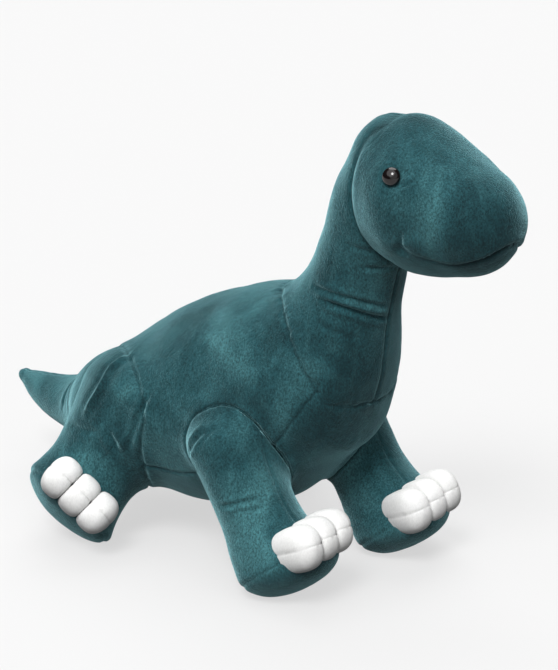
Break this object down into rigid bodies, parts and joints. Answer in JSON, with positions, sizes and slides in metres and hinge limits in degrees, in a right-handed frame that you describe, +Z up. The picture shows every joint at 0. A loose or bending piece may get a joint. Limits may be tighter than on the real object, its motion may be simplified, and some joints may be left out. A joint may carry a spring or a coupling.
{
  "type": "stuffed dinosaur toy",
  "caption": "Stuffed long-necked dinosaur toy with a sewn velour cover, soft neck, head, tail and splayed legs, plump white toes and safety eyes.",
  "frame": {"origin": "middle of the footprint, on the ground the toy stands on", "axes": "+Z up, the toy faces -Y, its own right side is -X"},
  "size_m": [0.2646, 0.4784, 0.3325],
  "materials": {
    "teal_velour": "short brushed pile",
    "white_velour": "short brushed pile",
    "stuffing": "loose polyester fibre",
    "eye_plastic": "polished",
    "washer_plastic": "moulded"
  },
  "bodies": {
    "torso": {"torso_side_left": "teal_velour", "torso_side_right": "teal_velour", "torso_belly": "teal_velour", "torso_stuffing": "stuffing"},
    "neck": {"neck_panel_left": "teal_velour", "neck_panel_right": "teal_velour", "neck_stuffing": "stuffing"},
    "head": {"eye_left": "eye_plastic", "eye_washer_left": "washer_plastic", "eye_right": "eye_plastic", "eye_washer_right": "washer_plastic", "head_cheek_left": "teal_velour", "head_cheek_right": "teal_velour", "head_chin": "teal_velour", "head_stuffing": "stuffing"},
    "tail": {"tail_panel_left": "teal_velour", "tail_panel_right": "teal_velour", "tail_stuffing": "stuffing"},
    "front_left_leg": {"front_left_outer": "teal_velour", "front_left_inner": "teal_velour", "front_left_sole": "teal_velour", "front_left_stuffing": "stuffing", "front_left_toe_1": "white_velour", "front_left_toe_2": "white_velour", "front_left_toe_3": "white_velour"},
    "front_right_leg": {"front_right_outer": "teal_velour", "front_right_inner": "teal_velour", "front_right_sole": "teal_velour", "front_right_stuffing": "stuffing", "front_right_toe_1": "white_velour", "front_right_toe_2": "white_velour", "front_right_toe_3": "white_velour"},
    "hind_left_leg": {"hind_left_outer": "teal_velour", "hind_left_inner": "teal_velour", "hind_left_sole": "teal_velour", "hind_left_stuffing": "stuffing", "hind_left_toe_1": "white_velour", "hind_left_toe_2": "white_velour", "hind_left_toe_3": "white_velour"},
    "hind_right_leg": {"hind_right_outer": "teal_velour", "hind_right_inner": "teal_velour", "hind_right_sole": "teal_velour", "hind_right_stuffing": "stuffing", "hind_right_toe_1": "white_velour", "hind_right_toe_2": "white_velour", "hind_right_toe_3": "white_velour"}
  },
  "joints": [
    {"name": "neck_bend", "type": "hinge", "parent": "torso", "child": "neck", "pos_m": [0, -0.0684, 0.146], "axis": [1, 0, 0], "range_deg": [-12, 12], "stiffness_Nm_per_rad": 3, "springref_deg": -1.72, "deforming": ["neck_panel_left", "neck_panel_right"]},
    {"name": "head_nod", "type": "hinge", "parent": "neck", "child": "head", "pos_m": [0, -0.1524, 0.284], "axis": [1, 0, 0], "range_deg": [-12, 12], "stiffness_Nm_per_rad": 1.5, "springref_deg": -0.69, "deforming": ["head_cheek_left", "head_cheek_right", "head_chin"]},
    {"name": "tail_swing", "type": "hinge", "parent": "torso", "child": "tail", "pos_m": [0, 0.1156, 0.072], "axis": [0, 0, 1], "range_deg": [-15, 15], "stiffness_Nm_per_rad": 0.8, "deforming": ["tail_panel_left", "tail_panel_right"]},
    {"name": "front_left_swing", "type": "hinge", "parent": "torso", "child": "front_left_leg", "pos_m": [0.051, -0.0454, 0.096], "axis": [1, 0, 0], "range_deg": [-15, 15], "stiffness_Nm_per_rad": 4, "deforming": ["front_left_outer", "front_left_inner"]},
    {"name": "front_right_swing", "type": "hinge", "parent": "torso", "child": "front_right_leg", "pos_m": [-0.06, -0.0484, 0.096], "axis": [1, 0, 0], "range_deg": [-15, 15], "stiffness_Nm_per_rad": 4, "deforming": ["front_right_outer", "front_right_inner"]},
    {"name": "hind_left_swing", "type": "hinge", "parent": "torso", "child": "hind_left_leg", "pos_m": [0.046, 0.0586, 0.094], "axis": [1, 0, 0], "range_deg": [-15, 15], "stiffness_Nm_per_rad": 4, "deforming": ["hind_left_outer", "hind_left_inner"]},
    {"name": "hind_right_swing", "type": "hinge", "parent": "torso", "child": "hind_right_leg", "pos_m": [-0.046, 0.0586, 0.094], "axis": [1, 0, 0], "range_deg": [-15, 15], "stiffness_Nm_per_rad": 4, "deforming": ["hind_right_outer", "hind_right_inner"]}
  ]
}
